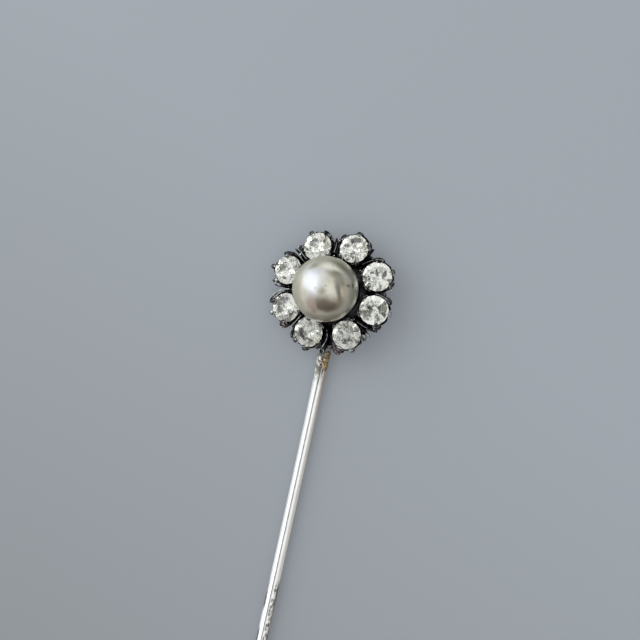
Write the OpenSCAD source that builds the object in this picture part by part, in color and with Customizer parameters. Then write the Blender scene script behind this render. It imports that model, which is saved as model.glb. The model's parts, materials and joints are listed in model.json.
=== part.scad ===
// Stick pin: a large pearl in a ring of eight claw-set stones, soldered to a long pointed stem.
// The head is drawn about its own middle, where the stones' girdles lie, and is then laid down.
// Lying down, the stem runs along the Y axis and the table is at z = 0.

/* [Stones] */
// Diameter of an average stone
stone_d = 3.1; // [2.9:0.05:3.15]
// Radius of the circle on which the stones are set
ring_r = 5.15; // [5.1:0.05:5.4]
// How far each stone leans outwards, in degrees
splay = 10; // [4:1:12]
// Width of a stone's table, as a share of its diameter
table_share = 0.52; // [0.45:0.01:0.6]
// Height of a stone's crown, as a share of its diameter
crown_share = 0.15; // [0.12:0.01:0.18]
// Depth of a stone's pavilion, as a share of its diameter
pavilion_share = 0.41; // [0.38:0.01:0.43]

/* [Pearl] */
// Diameter of the pearl
pearl_d = 7; // [6.6:0.1:7.2]
// Height of the pearl's middle above the stones' girdles
pearl_lift = 2.2; // [2:0.1:2.4]
// Diameter of the peg that the pearl is cemented on
peg_d = 0.8; // [0.6:0.1:1]

/* [Setting] */
// Height of the setting, from the girdles to the flat back
setting_h = 1.95; // [1.85:0.05:2.2]
// Thickness of a collet's wall at the top of its claws
wall = 0.28; // [0.24:0.02:0.32]
// Radius of a collet where it meets the back
foot_r = 1.2; // [1:0.05:1.3]
// Thickness of the wire that backs each claw
claw_d = 0.42; // [0.36:0.02:0.46]
// Height of the claws above the girdles
claw_top = 0.28; // [0.2:0.02:0.34]
// How far a claw laps over the edge of its stone
claw_lap = 0.1; // [0.06:0.02:0.14]
// Thickness of the back plate
plate_t = 0.4; // [0.3:0.05:0.45]
// Radius of the back plate
plate_r = 5.45; // [4.8:0.05:5.6]
// Gap that cement fills round each stone and the pearl
seat_gap = 0.05; // [0.04:0.01:0.06]

/* [Stem] */
// Diameter of the stem's wire
stem_d = 1.14; // [1:0.02:1.2]
// How far the stem lies to the right of the head's middle
stem_shift = 0.02; // [-0.2:0.02:0.1]
// Distance from the middle of the head to the point
stem_reach = 62; // [50:1:75]
// Length of the tapered point
point_l = 9; // [5:0.5:15]
// How far the stem runs on behind the head, past its middle
stem_lap = 3.4; // [2:0.1:4]
// How far the solder runs down the stem, from the middle of the head
solder_reach = 7.9; // [7:0.1:9]

/* [Hidden] */

// The stones as they were set by hand, anticlockwise from the upper right.
// Columns: angle round the pearl, distance beyond the ring's radius, extra diameter
STONES = [
    [27.9, 0.10, 0.05],
    [73, -0.08, 0],
    [120.7, -0.12, 0],
    [166.6, 0.24, 0.02],
    [211.1, 0.16, 0.02],
    [252.6, -0.12, 0.1],
    [302.6, -0.13, 0],
    [347.9, 0.03, 0.05]
];
// The claws of each collet, clockwise to anticlockwise from the side that faces the pearl.
// Columns: angle from the outward side, extra reach of the tip
CLAWS = [
    [[-149, 0], [-45, 0.05], [2, 0], [68, 0.15], [147, 0]],
    [[-144, 0], [-52, 0.03], [8, -0.04], [70, 0.02], [149, 0]],
    [[-150, 0], [-58, 0.03], [8, -0.04], [75, 0.12], [147, 0]],
    [[-149, 0], [-70, 0.15], [11, -0.04], [66, 0.2], [147, 0]],
    [[-149, 0], [-47, 0.12], [-3, -0.04], [59, 0.22], [147, 0]],
    [[-149, 0], [-33, 0], [15, 0.06], [66, 0.14], [147, 0]],
    [[-151, 0], [-49, 0.26], [-3, 0.1], [60, 0.22], [150, 0]],
    [[-147, 0], [-57, 0.26], [9, -0.02], [56, 0.24], [151, 0]]
];
// The webs that fill the gap between a stone and the next. Columns: radius reached, height of the top
WEBS = [
    [5.9, -0.5],
    [5.62, -0.45],
    [5.75, -0.45],
    [6, -0.5],
    [6.2, -0.6],
    [6.1, -0.65],
    [5.95, -0.55],
    [5.95, -0.5]
];

silver = "dimgray";
nacre = "tan";
paste = "azure";

facets = 8;
step = 360 / facets;
girdle_t = 0.07;
culet_r = 0.12;
// Where the crown's and the pavilion's small facets end, as shares of the stone's radius
crown_mid = 0.74;
pavilion_mid = 0.42;

// Height at which the scallops are filed away to, against the girdles
scallop_floor = -0.2;
// A scallop's radius is its angle between two claws, less their own width, times a rate
claw_angle = 25;
scallop_rate = 0.0165;
web_foot_r = 0.62;
web_top_r = 0.42;
// Size of a claw's rounded tip, and of its foot, against its wire
claw_tip = 1.15;
claw_foot = 0.9;
cup_r = 2.6;
cup_top = -0.55;
peg_top = 0.7;
point_r = 0.06;
solder_r = 0.36;
solder_side = 0.3;
solder_start = 4.2;
// Thickness of the solder that coats the wire: at its end behind the head, and where the coat
// stops, a little beyond the thick run
coat_start = 0.016;
coat_end = 0.036;
coat_beyond = 0.4;
// How far the coat's lowest line is below the wire's
coat_under = 0.006;
stem_sink = 0.08;
stem_depth = setting_h + stem_d / 2 - stem_sink;
$fn = 64;

function stone_angle(i) = STONES[i][0];
function stone_place(i) = ring_r + STONES[i][1];
function stone_size(i) = stone_d + STONES[i][2];

// How far a collet's foot reaches towards the side on which the head rests
function foot_reach(i) =
    foot_r - (stone_place(i) - setting_h * tan(splay)) * cos(stone_angle(i));
rest_reach = max([for (i = [0 : len(STONES) - 1]) foot_reach(i)]) + stem_shift;
rest_drop = stem_depth - setting_h;
// The head leans until a foot touches the table, with the stem lying on it
rest_lean = atan(rest_drop / rest_reach)
    + asin(stem_d / 2 / norm([rest_reach, rest_drop]));
head_reach = ring_r + stone_d / 2 + wall;

// A ring of points round a stone's axis, from a first angle
function ring_points(r, z, n, first) =
    [for (k = [0 : n - 1]) [r * cos(first + k * 360 / n), r * sin(first + k * 360 / n), z]];
// Height of a mid point, which lies in the plane of the large facet beside it
function mid_z(r_girdle, z_girdle, r_mid, slope) =
    z_girdle + (r_girdle - r_mid * cos(step / 2)) * slope;

// A round stone of the old cut: table, stars, kites, girdle, pavilion and a small culet.
// Each face lists its corners clockwise, as seen from outside the stone.
module cut_stone(d) {
    r = d / 2;
    r_table = r * table_share;
    z_girdle = girdle_t / 2;
    z_table = z_girdle + crown_share * d;
    z_culet = -z_girdle - pavilion_share * d;
    crown_slope = (z_table - z_girdle) / (r - r_table);
    pavilion_slope = (z_culet + z_girdle) / (r - culet_r);
    r_up = r * crown_mid;
    r_down = r * pavilion_mid;
    n = facets;
    table_at = 0;
    up_at = n;
    top_at = 2 * n;
    bottom_at = 4 * n;
    down_at = 6 * n;
    culet_at = 7 * n;
    points = concat(
        ring_points(r_table, z_table, n, 0),
        ring_points(r_up, mid_z(r, z_girdle, r_up, crown_slope), n, step / 2),
        ring_points(r, z_girdle, 2 * n, 0),
        ring_points(r, -z_girdle, 2 * n, 0),
        ring_points(r_down, mid_z(r, -z_girdle, r_down, pavilion_slope), n, step / 2),
        ring_points(culet_r, z_culet, n, 0));
    table = [[for (k = [n - 1 : -1 : 0]) table_at + k]];
    stars = [for (k = [0 : n - 1]) [table_at + k, table_at + (k + 1) % n, up_at + k]];
    kites = [for (k = [0 : n - 1])
        [table_at + k, up_at + k, top_at + 2 * k, up_at + (k + n - 1) % n]];
    upper = [for (k = [0 : 2 * n - 1])
        [top_at + (k + 1) % (2 * n), top_at + k, up_at + floor(k / 2)]];
    band = [for (k = [0 : 2 * n - 1])
        [top_at + k, top_at + (k + 1) % (2 * n), bottom_at + (k + 1) % (2 * n), bottom_at + k]];
    lower = [for (k = [0 : 2 * n - 1])
        [bottom_at + k, bottom_at + (k + 1) % (2 * n), down_at + floor(k / 2)]];
    mains = [for (k = [0 : n - 1])
        [culet_at + k, down_at + (k + n - 1) % n, bottom_at + 2 * k, down_at + k]];
    keels = [for (k = [0 : n - 1]) [culet_at + (k + 1) % n, culet_at + k, down_at + k]];
    culet = [[for (k = [0 : n - 1]) culet_at + k]];
    polyhedron(points, concat(table, stars, kites, upper, band, lower, mains, keels, culet));
}

// Puts a thing that is drawn round a stone's axis into that stone's place
module at_stone(i) {
    rotate([0, 0, stone_angle(i)])
        translate([stone_place(i), 0, 0])
            rotate([0, splay, 0])
                children();
}

// The room for a stone in its collet: the stone, the gap round it and the opening above
module seat(d) {
    r = d / 2 + seat_gap;
    r_open = d / 2 - claw_lap;
    z_girdle = girdle_t / 2 + seat_gap;
    z_crown = z_girdle + (r - r_open) * crown_share / (1 - table_share) * 2;
    z_culet = -z_girdle - pavilion_share * d;
    z_open = claw_top + claw_d;
    rotate_extrude()
        polygon([
            [0, z_culet],
            [culet_r + seat_gap, z_culet],
            [r, -z_girdle],
            [r, z_girdle],
            [r_open, z_crown],
            [r_open, z_open],
            [0, z_open]
        ]);
}

// The wire behind a claw leans out from the foot to a rounded tip beside the stone
module claw(tip_r) {
    foot = foot_r - claw_d / 4;
    rise = setting_h + claw_top - claw_d / 4;
    lean = atan((tip_r - foot) / rise);
    long = norm([tip_r - foot, rise]);
    translate([foot, 0, -setting_h])
        rotate([0, lean, 0]) {
            cylinder(h = long, r1 = claw_d / 2 * claw_foot, r2 = claw_d / 2, $fn = 24);
            translate([0, 0, long])
                sphere(r = claw_d / 2 * claw_tip, $fn = 24);
        }
}

// The room filed away between one claw and the next
module scallop(d, from, to) {
    r = (to - from - claw_angle) * scallop_rate;
    rotate([0, 0, (from + to) / 2])
        translate([d / 4, 0, scallop_floor + r])
            rotate([0, 90, 0])
                cylinder(h = d / 2, r = r, $fn = 48);
}

// A tapered cup, filed away between its claws
module collet(d, claws) {
    rim_r = d / 2 + seat_gap + wall;
    difference() {
        translate([0, 0, -setting_h])
            cylinder(h = setting_h + claw_top, r1 = foot_r, r2 = rim_r);
        for (k = [1 : len(claws) - 1])
            scallop(d, claws[k - 1][0], claws[k][0]);
        scallop(d, claws[len(claws) - 1][0], claws[0][0] + 360);
    }
    for (c = claws)
        rotate([0, 0, c[0]])
            claw(rim_r - claw_d / 2 + c[1]);
}

// The metal between a stone's collet and the next one's
module web(i) {
    next = (i + 1) % len(STONES);
    turn = (stone_angle(i) + stone_angle(next) + (next == 0 ? 360 : 0)) / 2;
    rotate([0, 0, turn])
        translate([WEBS[i][0] - web_foot_r, 0, -setting_h])
            cylinder(h = setting_h + WEBS[i][1], r1 = web_foot_r, r2 = web_top_r, $fn = 32);
}

// The ring of collets and webs, with the collets' feet filed flush with the back
module cluster() {
    for (i = [0 : len(STONES) - 1])
        web(i);
    difference() {
        for (i = [0 : len(STONES) - 1])
            at_stone(i)
                collet(stone_size(i), CLAWS[i]);
        translate([0, 0, -2 * setting_h])
            cylinder(h = setting_h, r = 2 * ring_r);
    }
}

// The disc that joins the collets behind
module back_plate() {
    translate([0, 0, -setting_h])
        cylinder(h = plate_t, r = plate_r);
}

// The shallow cup and the peg that hold the pearl
module pearl_cup() {
    difference() {
        translate([0, 0, -setting_h + plate_t / 2])
            cylinder(h = setting_h - plate_t / 2 + cup_top, r = cup_r);
        translate([0, 0, pearl_lift])
            sphere(r = pearl_d / 2 + seat_gap, $fn = 96);
    }
    translate([0, 0, -setting_h + plate_t / 2])
        cylinder(h = setting_h - plate_t / 2 + peg_top, d = peg_d, $fn = 32);
}

// The wire, from the plate's rim to the tapered point
module stem() {
    wire_r = stem_d / 2;
    translate([stem_shift, 0, -stem_depth])
        rotate([90, 0, 0])
            rotate_extrude($fn = 48)
                polygon([
                    [0, plate_r],
                    [wire_r, plate_r],
                    [wire_r, stem_reach - point_l],
                    [point_r, stem_reach],
                    [0, stem_reach]
                ]);
}

// The wire behind the head, coated with solder. The coat is thicker on top and thins out below, where
// it is filed level, so that the whole length lies on the table.
module coated_wire() {
    r_start = stem_d / 2 + coat_start;
    r_end = stem_d / 2 + coat_end;
    long = stem_lap + solder_reach + coat_beyond;
    rise = atan((r_end - r_start) / long);
    translate([stem_shift, stem_lap, -stem_depth])
        rotate([0, rest_lean, 0])
            translate([0, 0, coat_start - coat_under])
                rotate([90 - rise, 0, 0])
                    cylinder(h = long, r1 = r_start, r2 = r_end, $fn = 48);
}

// Solder that has run along the stem's right side, with a rounded end
module solder() {
    translate([stem_shift + solder_side, -solder_start, -stem_depth + stem_d / 4])
        rotate([90, 0, 0]) {
            cylinder(h = solder_reach - solder_start, r = solder_r * 0.92, $fn = 32);
            translate([0, 0, solder_reach - solder_start - solder_r])
                sphere(r = solder_r, $fn = 32);
        }
}

// Lays the head down beside its stem, with the box of the whole pin about the middle
module lying() {
    lift = stem_d / 2 + stem_depth * cos(rest_lean) - stem_shift * sin(rest_lean);
    translate([0, (stem_reach - head_reach) / 2, lift])
        rotate([0, -rest_lean, 0])
            children();
}

// All the silver: collets, claws, back plate, cup, peg and stem, soldered into one piece
module setting_and_stem() {
    color(silver)
        lying()
            difference() {
                union() {
                    cluster();
                    back_plate();
                    pearl_cup();
                    stem();
                    coated_wire();
                    solder();
                }
                for (i = [0 : len(STONES) - 1])
                    at_stone(i)
                        seat(stone_size(i));
            }
}

// The pearl, drilled halfway for its peg
module pearl() {
    color(nacre)
        lying()
            difference() {
                translate([0, 0, pearl_lift])
                    sphere(d = pearl_d, $fn = 96);
                translate([0, 0, pearl_lift - pearl_d])
                    cylinder(h = pearl_d - pearl_lift + peg_top + seat_gap,
                        d = peg_d + 2 * seat_gap, $fn = 32);
            }
}

// One stone in its place in the ring
module stone(i) {
    color(paste)
        lying()
            at_stone(i)
                cut_stone(stone_size(i));
}

setting_and_stem();
pearl();
stone(0);  // stone_1
stone(1);  // stone_2
stone(2);  // stone_3
stone(3);  // stone_4
stone(4);  // stone_5
stone(5);  // stone_6
stone(6);  // stone_7
stone(7);  // stone_8
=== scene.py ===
# %% [markdown]
# # A stick pin with a pearl in a ring of stones
# The real pin is a pearl on a small cup, with eight clear stones round it in claw settings of silver
# that has gone black, all soldered to a long bright stem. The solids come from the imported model. This
# lesson dresses them: it reads where each solid is, builds finer pieces in the same places, and
# gives every surface its finish.

# %% Load the solids
import json
import math

import bmesh
import bpy
from mathutils import Matrix, Vector, noise


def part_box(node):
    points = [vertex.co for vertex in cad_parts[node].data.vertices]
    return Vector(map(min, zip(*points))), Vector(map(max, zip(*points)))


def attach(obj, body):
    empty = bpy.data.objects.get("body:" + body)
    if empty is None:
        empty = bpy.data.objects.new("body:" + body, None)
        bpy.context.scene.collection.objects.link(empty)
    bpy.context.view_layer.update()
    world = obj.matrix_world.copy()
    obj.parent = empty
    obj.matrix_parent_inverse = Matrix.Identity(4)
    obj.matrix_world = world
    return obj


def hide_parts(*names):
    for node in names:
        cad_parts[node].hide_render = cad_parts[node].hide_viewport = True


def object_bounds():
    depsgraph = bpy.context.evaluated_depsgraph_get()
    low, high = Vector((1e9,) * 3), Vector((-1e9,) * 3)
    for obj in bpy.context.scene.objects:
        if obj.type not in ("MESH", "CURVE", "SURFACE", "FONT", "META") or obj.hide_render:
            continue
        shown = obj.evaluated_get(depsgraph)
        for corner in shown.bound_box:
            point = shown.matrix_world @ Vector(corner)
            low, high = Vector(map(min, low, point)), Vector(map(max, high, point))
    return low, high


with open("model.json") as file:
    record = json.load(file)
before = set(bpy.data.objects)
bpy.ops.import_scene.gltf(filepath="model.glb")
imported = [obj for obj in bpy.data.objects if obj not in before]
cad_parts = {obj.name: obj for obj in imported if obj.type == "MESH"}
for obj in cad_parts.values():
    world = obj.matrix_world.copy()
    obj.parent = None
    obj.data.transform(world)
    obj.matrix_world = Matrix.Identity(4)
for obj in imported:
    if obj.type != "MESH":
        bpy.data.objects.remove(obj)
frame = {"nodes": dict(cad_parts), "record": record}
cad_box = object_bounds()
print("solids:", ", ".join(sorted(frame["nodes"])))

# %% [markdown]
# Each stone leans outwards in its own place. Its mesh is loose triangles, so a copy is merged first
# and its flat facets are joined again. The largest facet is the table, which gives the axis.
# A stone's own frame has x outwards from the pearl and z along the axis, in millimetres, and starts
# in the middle of the girdle, the stone's widest part.

# %% Where the pearl and the stones sit
MM = 0.001
GIRDLE_T = 0.07  # thickness of a girdle
CROWN_SHARE = 0.15  # height of a crown against the stone's diameter

pearl_low, pearl_high = (Vector(corner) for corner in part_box("pearl"))
pearl_middle = (pearl_low + pearl_high) / 2
PEARL_R = (pearl_high.y - pearl_low.y) / 2 / MM


def merged_copy(node):
    """A bmesh of a solid's mesh, with its corners merged and its flat faces whole again."""
    bm = bmesh.new()
    bm.from_mesh(frame["nodes"][node].data)
    bmesh.ops.remove_doubles(bm, verts=bm.verts, dist=1e-7)
    bmesh.ops.dissolve_limit(bm, angle_limit=math.radians(0.4), verts=bm.verts, edges=bm.edges)
    return bm


def axes(x, y, z):
    """A turn whose columns are the three given directions."""
    return Matrix((x, y, z)).transposed().to_4x4()


def stone_frame(node):
    """The stone's own frame, in millimetres, and its diameter."""
    bm = merged_copy(node)
    table = max(bm.faces, key=lambda face: face.calc_area())
    axis = table.normal.copy()
    top = table.calc_center_median()
    reach = max((v.co - top - axis * (v.co - top).dot(axis)).length for v in bm.verts)
    bm.free()
    outward = top - pearl_middle
    outward = (outward - axis * outward.dot(axis)).normalized()
    middle = top - axis * (CROWN_SHARE * 2 * reach + GIRDLE_T / 2 * MM)
    turn = axes(outward, axis.cross(outward), axis)
    return Matrix.Translation(middle) @ turn @ Matrix.Scale(MM, 4), 2 * reach / MM


STONES = {f"stone_{k}": stone_frame(f"stone_{k}") for k in range(1, 9)}
print(f"pearl {2 * PEARL_R:.2f} mm, stones",
      ", ".join(f"{across:.2f}" for place, across in STONES.values()))

# %% [markdown]
# The head of the pin leans, so its own pieces are drawn in a frame of their own, in millimetres: u to
# the right, v up along the stem and w along the head's normal. All the girdles lie in one
# plane, whose normal is that of the head, and the pearl stands above the frame's middle.

# %% The head's own frame
girdles = [place.translation for place, across in STONES.values()]
mean = sum(girdles, Vector()) / len(girdles)
normal = sum(((a - mean).cross(b - mean) for a, b in zip(girdles, girdles[1:] + girdles[:1])),
             Vector()).normalized()
right = Vector((0, 1, 0)).cross(normal).normalized()
PEARL_LIFT = (pearl_middle - mean).dot(normal) / MM
head_middle = pearl_middle - normal * PEARL_LIFT * MM
HEAD = Matrix.Translation(head_middle) @ axes(right, normal.cross(right), normal) @ Matrix.Scale(MM, 4)

mount = frame["record"]["mounts"][0]
WIRE_R = mount["dims"]["r_mm"]
wire_middle = HEAD.inverted() @ Vector(mount["pos_m"])
STEM_U, STEM_W = wire_middle.x, wire_middle.z
print(f"head leans {math.degrees(math.atan2(right.z, right.x)):.2f} degrees, pearl {PEARL_LIFT:.2f} mm "
      f"up, stem at u {STEM_U:.2f} and w {STEM_W:.2f} mm")

# %% [markdown]
# The camera comes before the pieces, because its angle decides what is seen. It looks down
# on the pin from a little to the right of straight above, turned so that the stem
# runs to the lower left, from a hand's length away.

# %% Camera
FORWARD = (HEAD.to_3x3() @ Vector((0.301, -0.012, 0.954))).normalized()  # from the pin to the eye
ROLL = math.radians(12.52)
DISTANCE = 0.2
LENS = 106
AIM_RIGHT, AIM_UP = -1.2, -3.1  # what the camera looks at, from the head's middle, in millimetres

camera_data = bpy.data.cameras.new("camera")
camera_data.lens = LENS
camera_data.clip_start = 0.01
camera_data.clip_end = 5
camera = bpy.data.objects.new("camera", camera_data)
bpy.context.scene.collection.objects.link(camera)
bpy.context.scene.camera = camera

up = Vector((-math.sin(ROLL), math.cos(ROLL), 0))
up = (up - FORWARD * up.dot(FORWARD)).normalized()
side = up.cross(FORWARD)
aim = head_middle + (side * AIM_RIGHT + up * AIM_UP) * MM
camera.matrix_world = Matrix.Translation(aim + FORWARD * DISTANCE) @ axes(side, up, FORWARD)
print("camera at", [round(x, 4) for x in camera.location])

# %% [markdown]
# Every finish is a node tree. Small helpers keep the trees short: one adds a node with its
# settings and links, one starts a material, and the others are steps that most finishes take.

# %% Helpers for node trees


def put(tree, kind, ins=None, **settings):
    """Adds a node. ins holds values, or sockets to link from, by the input's name or number."""
    made = tree.nodes.new(kind)
    for key, value in settings.items():
        setattr(made, key, value)
    for key, value in (ins or {}).items():
        if isinstance(value, bpy.types.NodeSocket):
            tree.links.new(value, made.inputs[key])
        else:
            made.inputs[key].default_value = value
    return made


def blend(tree, mask, low, high):
    """Mixes two colours, or sockets, by a mask and returns the colour."""
    return put(tree, "ShaderNodeMix", {0: mask, 6: low, 7: high}, data_type="RGBA").outputs[2]


def maths(tree, operation, *values):
    """One step of arithmetic on numbers or sockets."""
    return put(tree, "ShaderNodeMath", dict(enumerate(values)), operation=operation).outputs[0]


def spread(tree, value, low, high):
    """A mask, spread over the range from low to high."""
    return put(tree, "ShaderNodeMapRange", {"Value": value, "To Min": low, "To Max": high}).outputs[0]


def soft_step(tree, value, low, high):
    """0 at the first level and 1 at the second, with a smooth rise between them."""
    return put(tree, "ShaderNodeMapRange", {"Value": value, "From Min": low, "From Max": high},
               interpolation_type="SMOOTHSTEP").outputs[0]


def here(tree):
    """The shaded point in the piece's own coordinates."""
    return put(tree, "ShaderNodeTexCoord").outputs["Object"]


def mark(tree, name):
    """The value of an attribute that the piece carries."""
    return put(tree, "ShaderNodeAttribute", attribute_name=name).outputs["Fac"]


def wander(tree, where, scale, detail, amount):
    """A point shifted by a noise, so that what is drawn round it gets an uneven outline."""
    waves = put(tree, "ShaderNodeTexNoise", {"Vector": where, "Scale": scale, "Detail": detail})
    centred = put(tree, "ShaderNodeVectorMath", {0: waves.outputs["Color"], 1: (0.5, 0.5, 0.5)},
                  operation="SUBTRACT")
    return put(tree, "ShaderNodeVectorMath", {0: centred.outputs[0], 1: (amount,) * 3, 2: where},
               operation="MULTIPLY_ADD").outputs[0]


def start_finish(name, **values):
    """A new material. Its shader's constant inputs are given by name, with _ for a space."""
    material = bpy.data.materials.new(name)
    material.use_nodes = True
    shader = material.node_tree.nodes["Principled BSDF"]
    for key, value in values.items():
        shader.inputs[key.replace("_", " ")].default_value = value
    return material, material.node_tree, shader


def relief(tree, shader, height, strength, distance):
    """Gives a finish a fine relief, whose depth is in metres."""
    bump = put(tree, "ShaderNodeBump", {"Height": height, "Strength": strength, "Distance": distance})
    tree.links.new(bump.outputs[0], shader.inputs["Normal"])


# %% [markdown]
# Old silver is never even. Soft patches and edges that are rubbed bright come back in several
# finishes, so each is built once as a node group, and so are the fine scratches of drawn wire.
# A group gives only masks and heights, and each finish decides what to do with them.

# %% Shared effects


def start_group(name, inputs, outputs):
    """A new node group, with numbers as inputs and outputs."""
    group = bpy.data.node_groups.new(name, "ShaderNodeTree")
    for label, value in inputs.items():
        socket = group.interface.new_socket(label, in_out="INPUT", socket_type="NodeSocketFloat")
        socket.default_value = value
    for label in outputs:
        group.interface.new_socket(label, in_out="OUTPUT", socket_type="NodeSocketFloat")
    return group, put(group, "NodeGroupInput").outputs, put(group, "NodeGroupOutput").inputs


patches, given, out = start_group(
    "Soft patches", {"Scale": 400.0, "Low": 0.4, "High": 0.6, "Seed": 0.0, "Detail": 4.0}, ["Mask"])
shifted = put(patches, "ShaderNodeVectorMath", {0: here(patches), 1: given["Seed"]}, operation="ADD")
cloud = put(patches, "ShaderNodeTexNoise", {
    "Vector": shifted.outputs[0], "Scale": given["Scale"], "Detail": given["Detail"], "Roughness": 0.6})
patches.links.new(soft_step(patches, cloud.outputs["Fac"], given["Low"], given["High"]), out["Mask"])

worn, given, out = start_group(
    "Worn edges", {"Low": 0.3, "High": 0.7, "Break up": 0.5, "Scale": 2500.0}, ["Mask"])
cloud = put(worn, "ShaderNodeTexNoise", {"Vector": here(worn), "Scale": given["Scale"], "Detail": 3.0})
centred = maths(worn, "SUBTRACT", cloud.outputs["Fac"], 0.5)
uneven = maths(worn, "MULTIPLY_ADD", centred, given["Break up"], mark(worn, "wear"))
worn.links.new(soft_step(worn, uneven, given["Low"], given["High"]), out["Mask"])

scratches, given, out = start_group(
    "Drawn scratches", {"Across": 9000.0, "Along": 60.0}, ["Height"])
stretch = put(scratches, "ShaderNodeCombineXYZ", {
    "X": given["Across"], "Y": given["Along"], "Z": given["Across"]})
drawn = put(scratches, "ShaderNodeVectorMath", {0: here(scratches), 1: stretch.outputs[0]},
            operation="MULTIPLY")
lines = put(scratches, "ShaderNodeTexNoise", {"Vector": drawn.outputs[0], "Scale": 1.0, "Detail": 2.0})
scratches.links.new(lines.outputs["Fac"], out["Height"])


def place_effect(tree, group, **values):
    """Places a shared effect in a finish, with its own values, and gives its output."""
    made = put(tree, "ShaderNodeGroup", node_tree=group)
    for key, value in values.items():
        made.inputs[key.replace("_", " ")].default_value = value
    return made.outputs[0]


print("shared effects:", ", ".join(g.name for g in bpy.data.node_groups))

# %% [markdown]
# Blackened silver is dark because a thin layer of sulphide covers it. It is worn off wherever a
# cloth or a finger reaches: at edges and claw tips. In a few places near the stem the layer is
# browner, and on a few claws it is gone. These masks are attributes that each piece carries, so they
# follow its shape.

# %% Blackened silver
oxidised, tree, shader = start_finish(
    "oxidised silver", Metallic=1.0, Specular_Tint=(0.45, 0.45, 0.47, 1))
black = blend(tree, place_effect(tree, patches, Scale=900.0, Low=0.42, High=0.62),
              (0.008, 0.008, 0.009, 1), (0.045, 0.047, 0.052, 1))
toned = blend(tree, mark(tree, "brown"), black, (0.085, 0.062, 0.060, 1))
bare = maths(tree, "MULTIPLY", mark(tree, "bare"),
             place_effect(tree, patches, Scale=2000.0, Low=0.36, High=0.52, Seed=3.1))
scoured = blend(tree, bare, toned, (0.60, 0.61, 0.60, 1))
bright_edge = place_effect(tree, worn, Low=0.40, High=0.90, Break_up=0.6, Scale=1400.0)
edged = blend(tree, bright_edge, scoured, (0.34, 0.335, 0.32, 1))
polished = place_effect(tree, worn, Low=0.78, High=1.02, Break_up=0.5, Scale=900.0)
colour = blend(tree, polished, edged, (0.74, 0.74, 0.72, 1))
tree.links.new(colour, shader.inputs["Base Color"])
dullness = place_effect(tree, patches, Scale=1700.0, Low=0.3, High=0.7, Seed=1.7)
tree.links.new(spread(tree, dullness, 0.24, 0.46), shader.inputs["Roughness"])
relief(tree, shader, place_effect(tree, patches, Scale=5200.0, Low=0.2, High=0.8, Seed=2.2),
       0.25, 0.00003)
print("finish:", oxidised.name)

# %% [markdown]
# The stem is rubbed bright by every wearing. It was drawn through a plate, which leaves fine lines
# along it and a fine groove. Along the side that faces the eye, a thin dark line is painted over
# the groove: a painted reflection of the eye. Its mask, which also holds the tool marks further down,
# the dull brown of the right side, which is painted shade, the frosty wear of the left side and the
# grey tin under the head are attributes of the stem's own mesh. The brown, the frost and the tin are
# less metallic and less smooth, so they scatter the light.

# %% Bright silver of the stem
bright, tree, shader = start_finish("bright silver")
silver = blend(tree, place_effect(tree, patches, Scale=260.0, Low=0.45, High=0.75),
               (0.92, 0.92, 0.89, 1), (0.82, 0.82, 0.78, 1))
frost, tan, tin = (mark(tree, name) for name in ("frost", "tan", "tin"))
frosted = blend(tree, frost, silver, (0.66, 0.68, 0.68, 1))
# Painted shade: the right side as seen is tan, and darker brown towards the head.
painted_shade_colour = blend(tree, mark(tree, "near_head"), (0.88, 0.84, 0.75, 1), (0.42, 0.32, 0.20, 1))
warmed = blend(tree, tan, frosted, painted_shade_colour)
tin_colour = blend(tree, place_effect(tree, patches, Scale=2200.0, Low=0.40, High=0.58, Seed=13.0),
                   (0.80, 0.80, 0.73, 1), (0.20, 0.20, 0.155, 1))
tinned = blend(tree, tin, warmed, tin_colour)
# Painted reflection of the eye: a thin dark line along the wire, in one mask with the tool marks.
painted_eye_line_and_marks_colour = blend(tree, mark(tree, "painted_eye_line_and_marks"), tinned, (0.11, 0.11, 0.105, 1))
tree.links.new(painted_eye_line_and_marks_colour, shader.inputs["Base Color"])
scattering = maths(tree, "MAXIMUM", maths(tree, "MAXIMUM", tan, tin), frost)
tree.links.new(spread(tree, scattering, 1.0, 0.25), shader.inputs["Metallic"])
dullness = place_effect(tree, patches, Scale=900.0, Low=0.3, High=0.7, Seed=4.4)
matt = maths(tree, "MULTIPLY_ADD", scattering, 0.3, spread(tree, dullness, 0.16, 0.28))
tree.links.new(matt, shader.inputs["Roughness"])
relief(tree, shader, place_effect(tree, scratches, Across=7000.0, Along=45.0), 0.2, 0.00002)
print("finish:", bright.name)

# %% [markdown]
# The solder holds some brass, so it has tarnished to a warm yellow brown with darker crumbs. Its
# darker patches are rougher than its lighter ones, so one pattern drives both colour and roughness.

# %% Tarnished solder
solder, tree, shader = start_finish("tarnished solder", Metallic=1.0)
lumps = {"Scale": 1500.0, "Seed": 5.0}
gold = blend(tree, place_effect(tree, patches, Low=0.38, High=0.6, **lumps),
             (0.17, 0.115, 0.045, 1), (0.43, 0.31, 0.165, 1))
crumbs = blend(tree, place_effect(tree, patches, Scale=3000.0, Low=0.53, High=0.64, Seed=6.0),
               gold, (0.07, 0.045, 0.028, 1))
rim = blend(tree, place_effect(tree, worn, Low=0.55, High=1.0), crumbs, (0.58, 0.46, 0.31, 1))
tree.links.new(rim, shader.inputs["Base Color"])
dullness = spread(tree, place_effect(tree, patches, Low=0.3, High=0.7, **lumps), 0.50, 0.34)
tree.links.new(dullness, shader.inputs["Roughness"])
relief(tree, shader, place_effect(tree, patches, Scale=2600.0, Low=0.2, High=0.8, Seed=7.0),
       0.6, 0.00005)
print("finish:", solder.name)
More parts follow.
